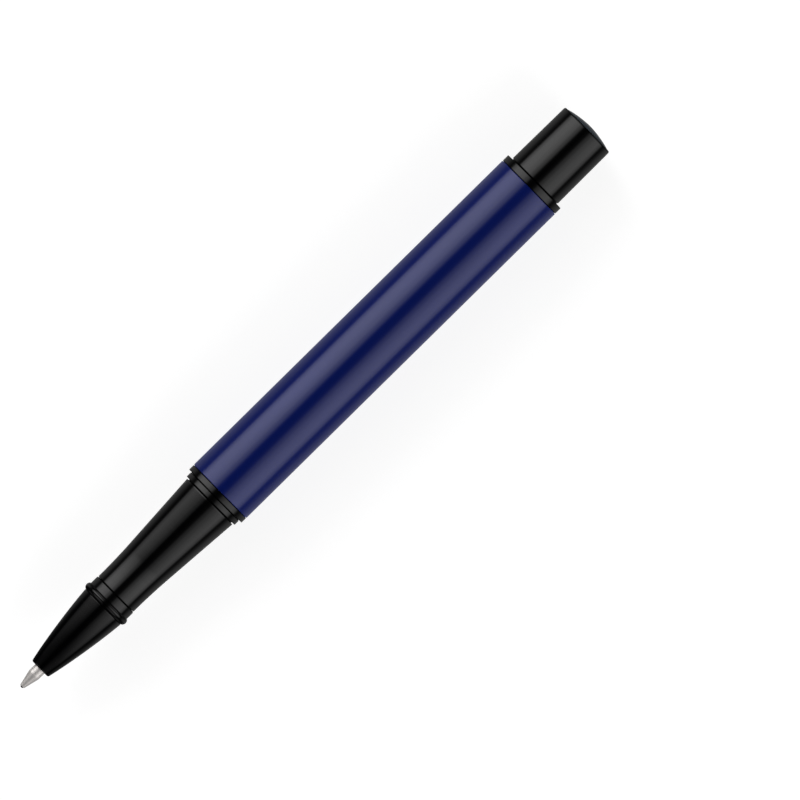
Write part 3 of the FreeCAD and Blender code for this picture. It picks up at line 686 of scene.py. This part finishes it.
def lifted(bm, faces, height, half):
    """Pulls faces up to one height, and makes them reach half to either side."""
    top = bmesh.ops.extrude_face_region(bm, geom=faces)["geom"]
    reach = max(item.co.y for item in top if isinstance(item, bmesh.types.BMVert))
    for item in top:
        if isinstance(item, bmesh.types.BMVert):
            item.co.z = height
            item.co.y *= half / reach
    return [item for item in top if isinstance(item, bmesh.types.BMFace)]


bm = bmesh.new()
outline = [(under, RING_HOLE_R), (under, RING_R), (cap_rear, RING_R), (cap_rear, RING_HOLE_R)]
corners = [bm.verts.new((x, 0, radius)) for x, radius in outline]
for start, end in zip(corners, corners[1:] + corners[:1]):
    bm.edges.new((start, end))
section = bm.verts[:] + bm.edges[:]
bmesh.ops.spin(
    bm, geom=section, cent=(0, 0, 0), axis=(1, 0, 0), angle=math.tau, steps=FACETS, use_merge=True
)
bmesh.ops.recalc_face_normals(bm, faces=bm.faces)
on_the_rim = [face for face in bm.faces if min(v.co.yz.length for v in face.verts) > RING_R * 0.99]
rim_faces = [face for face in on_the_rim if middle(face).z > 0 and abs(middle(face).y) < TONGUE_HALF]
strip = lifted(bm, rim_faces, NECK_Z, TONGUE_HALF)
strip = lifted(bm, strip, BEND.z, TONGUE_HALF)
strip = swept(bm, strip, BEND, BEND_ANGLE, BEND_STEPS)
strip = swept(bm, strip, ARCH, ARCH_ANGLE, ARCH_STEPS)
print("clip strip:", len(bm.faces), "faces, tip at", [round(c / MM, 2) for c in middle(strip[0])])

# %% [markdown]
# Two things make the strip look pressed and not sawn. Its long sides bow outwards, widest in the middle,
# and its back is slightly crowned, with soft edges. The bow is a shift of each point sideways, worked out
# from one large circle. The crown lowers the back towards its edges, and a bevel rounds what is left.

# %% Clip: bow, crown and soft edges
BOW_R = 425 * MM
CROWN, SOFT = 0.14 * MM, 0.22 * MM
BACK_R = 72.1 * MM
PRESSED = math.radians(60)
tip_x = max(v.co.x for v in bm.verts)
half_length = (tip_x - under) / 2
bow_floor = math.sqrt(BOW_R**2 - half_length**2)
for vert in bm.verts:
    if vert.co.z < NECK_Z * 1.001:
        continue
    offset = vert.co.x - under - half_length
    across = vert.co.y / TONGUE_HALF
    vert.co.y += across * (math.sqrt(BOW_R**2 - offset**2) - bow_floor)
    from_arch = vert.co - ARCH
    from_arch.y = 0
    if from_arch.length > BACK_R and vert.co.x > BEND.x:
        vert.co -= from_arch.normalized() * CROWN * across**2
bm.normal_update()
hard = [
    edge for edge in bm.edges
    if edge.calc_face_angle(0) > PRESSED and min(v.co.z for v in edge.verts) > NECK_Z * 0.999
]
bmesh.ops.bevel(bm, geom=hard, offset=SOFT, segments=4, profile=0.5, affect="EDGES", material=-1)
bmesh.ops.rotate(bm, verts=bm.verts, cent=(0, 0, 0), matrix=Matrix.Rotation(CLIP_TURN, 3, "X"))
bmesh.ops.recalc_face_normals(bm, faces=bm.faces)
clip = piece_from("clip_strip", bm)
clip.data.materials.append(clip_black)
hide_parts("clip_root", "clip_arm")
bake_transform(clip)
print("clip:", len(clip.data.polygons), "faces")

# %% [markdown]
# ## What stays from the CAD model
# The inner pieces are right as they are: the threads, the spring, the refill and the inner cap. They only
# need finishes. Their meshes are left alone.

# %% Finishes for the inner pieces
INNER = {
    "barrel_bushing": brass,
    "tail_insert": brass,
    "section_core": core_black,
    "cap_top_plug": brass,
    "refill_spring": spring_steel,
    "refill_tube": refill_plastic,
    "refill_end_plug": refill_plug,
    "refill_holder": refill_holder,
    "ink_core": ink_fibre,
    "feed_wick": ink_fibre,
    "inner_cap": liner_plastic,
    "tip_ball": ball_carbide,
}
for name, finish in INNER.items():
    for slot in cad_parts[name].material_slots:
        slot.material = finish
    print(f"{name}: {finish.name}")

# %% [markdown]
# ## The table
# The pen lies on a plain white floor, wide enough for its edge to stay out of view. It glows a little of
# its own, as a lit table does, so the pen's shadow on it stays pale.

# %% Floor
bm = bmesh.new()
bmesh.ops.create_grid(bm, x_segments=1, y_segments=1, size=4)
bmesh.ops.translate(bm, verts=bm.verts, vec=(0, 0, CAD_BOX[0][2]))
floor_mesh = bpy.data.meshes.new("floor")
bm.to_mesh(floor_mesh)
bm.free()
floor = bpy.data.objects.new("floor", floor_mesh)
bpy.context.scene.collection.objects.link(floor)
white = finish_of("floor_white", (0.3, 0.3, 0.3), 0.9, Emission_Color=(1, 1, 1, 1), Emission_Strength=0.8)
floor.data.materials.append(white)

# %% [markdown]
# ## Light
# Shiny black has to be lit by what it reflects, so the studio is painted on the world as a picture of two
# long soft boxes, one along each side of the pen. Their reflections are the two pale bands that run the
# whole length of it. The gap between the boxes, straight overhead, is the dark line between the bands,
# and the dim surroundings below the boxes' lower edge give the thin dark line near each side. A box list
# gives the angle from straight up, as a part of the way to straight down, and the brightness there. A
# reach list says how that brightness falls off along the pen, from the nose's end (0) to the tail's (1).

# %% Soft boxes on the world
LEFT_BOX = (
    (0.0, 0.01), (0.06, 0.03), (0.13, 0.85), (0.2, 1.6), (0.3, 1.95), (0.38, 1.9), (0.45, 1.2), (0.5, 0.12),
    (0.53, 0.03), (0.58, 0.09), (0.66, 0.22), (0.85, 0.19), (1.0, 0.15),
)
RIGHT_BOX = (
    (0.0, 0.01), (0.06, 0.05), (0.13, 0.48), (0.2, 0.9), (0.3, 1.2), (0.38, 1.25), (0.45, 0.8), (0.5, 0.12),
    (0.53, 0.03), (0.58, 0.1), (0.66, 0.22), (0.85, 0.19), (1.0, 0.15),
)
LEFT_REACH = (
    (0.0, 0.03), (0.05, 0.1), (0.11, 0.38), (0.17, 0.3), (0.24, 0.04), (0.33, 0.03), (0.408, 0.17),
    (0.426, 0.19), (0.443, 0.6), (0.485, 1.0), (0.6, 1.0), (0.72, 0.25), (0.77, 0.2), (0.84, 0.42),
    (0.9, 0.3), (0.96, 0.03),
)
RIGHT_REACH = (
    (0.0, 0.03), (0.05, 0.1), (0.11, 0.5), (0.17, 0.4), (0.24, 0.1), (0.33, 0.1), (0.408, 0.53),
    (0.426, 0.56), (0.443, 1.02), (0.46, 1.12), (0.485, 1.05), (0.6, 0.9), (0.72, 0.25), (0.77, 0.2),
    (0.84, 0.5), (0.9, 0.4), (0.96, 0.03),
)
BRIGHTEST = 2.0

world = bpy.data.worlds.new("studio")
world.use_nodes = True
bpy.context.scene.world = world
nodes, links = world.node_tree.nodes, world.node_tree.links


def joined(kind, first, second=None, **settings):
    """Adds a node fed by one or two values, and gives back its output."""
    node = nodes.new(kind)
    for name, value in settings.items():
        setattr(node, name, value)
    for socket, value in zip(node.inputs, (first, second)):
        if isinstance(value, float):
            socket.default_value = value
        elif value is not None:
            links.new(value, socket)
    return node.outputs[0]


def levels(value, stops):
    """Looks a value up in a list of (position, level) pairs."""
    ramp = nodes.new("ShaderNodeValToRGB")
    ramp.color_ramp.interpolation = "EASE"
    elements = ramp.color_ramp.elements
    elements.remove(elements[-1])
    for position, level in stops:
        element = elements[0] if position == 0.0 else elements.new(position)
        element.position = position
        element.color = (level / BRIGHTEST,) * 3 + (1,)
    links.new(value, ramp.inputs["Fac"])
    return ramp.outputs["Color"]


direction = nodes.new("ShaderNodeTexCoord").outputs["Generated"]
split = nodes.new("ShaderNodeSeparateXYZ")
links.new(direction, split.inputs["Vector"])
along, aside, up = split.outputs
sideways = joined("ShaderNodeMath", aside, operation="ABSOLUTE")
angle = joined("ShaderNodeMath", sideways, up, operation="ARCTAN2")
from_zenith = joined("ShaderNodeMath", angle, math.pi, operation="DIVIDE")
reach_at = joined("ShaderNodeMath", along, 0.5, operation="MULTIPLY")
reach_at = joined("ShaderNodeMath", reach_at, 0.5, operation="ADD")
sides = []
for box, reach in ((RIGHT_BOX, RIGHT_REACH), (LEFT_BOX, LEFT_REACH)):
    shade = levels(from_zenith, box)
    fade = levels(reach_at, reach)
    sides.append(joined("ShaderNodeVectorMath", shade, fade, operation="MULTIPLY"))
is_left = joined("ShaderNodeMath", aside, 0.0, operation="GREATER_THAN")
both = nodes.new("ShaderNodeMix")
both.data_type = "VECTOR"
links.new(is_left, both.inputs["Factor"])
links.new(sides[0], both.inputs["A"])
links.new(sides[1], both.inputs["B"])
links.new(both.outputs["Result"], nodes["Background"].inputs["Color"])
nodes["Background"].inputs["Strength"].default_value = BRIGHTEST**2

# %% [markdown]
# A white table needs more light than the boxes give. Two broad lamps make it white. They are left out of
# reflections, so they don't disturb the bands on the lacquer, and the floor is left out too, because a
# bright floor would wash over the lower half of every round piece.

# %% Lamps for the table


def table_lamp(name, place_at, size, power):
    data = bpy.data.lights.new(name, "AREA")
    data.shape = "SQUARE"
    data.size = size
    data.energy = power
    lamp = bpy.data.objects.new(name, data)
    lamp.location = place_at
    lamp.rotation_euler = (-Vector(place_at)).to_track_quat("-Z", "Y").to_euler()
    lamp.visible_camera = False
    lamp.visible_glossy = False
    bpy.context.scene.collection.objects.link(lamp)


table_lamp("table_lamp_left", (0.5, 2.6, 1.2), 2.0, 60)
table_lamp("table_lamp_right", (-0.5, -2.6, 1.2), 2.0, 60)
floor.visible_glossy = False

# %% [markdown]
# ## Camera
# The camera looks straight down on the pen from high above with a long lens, so the pen shows its true
# outline. It is turned about its own axis, so the pen crosses the picture from the lower left to the
# upper right.

# %% Camera
PEN_ANGLE = math.radians(44.57)
camera_data = bpy.data.cameras.new("camera")
camera_data.lens = 1200
camera_data.clip_start, camera_data.clip_end = 0.1, 40
CAMERA_HEIGHT = 4.268
camera = bpy.data.objects.new("camera", camera_data)
camera.location = (30.75 * MM, -9.79 * MM, CAMERA_HEIGHT)
camera.rotation_euler = (0, 0, -PEN_ANGLE)
bpy.context.scene.collection.objects.link(camera)
bpy.context.scene.camera = camera
bpy.context.scene.view_settings.view_transform = "Standard"
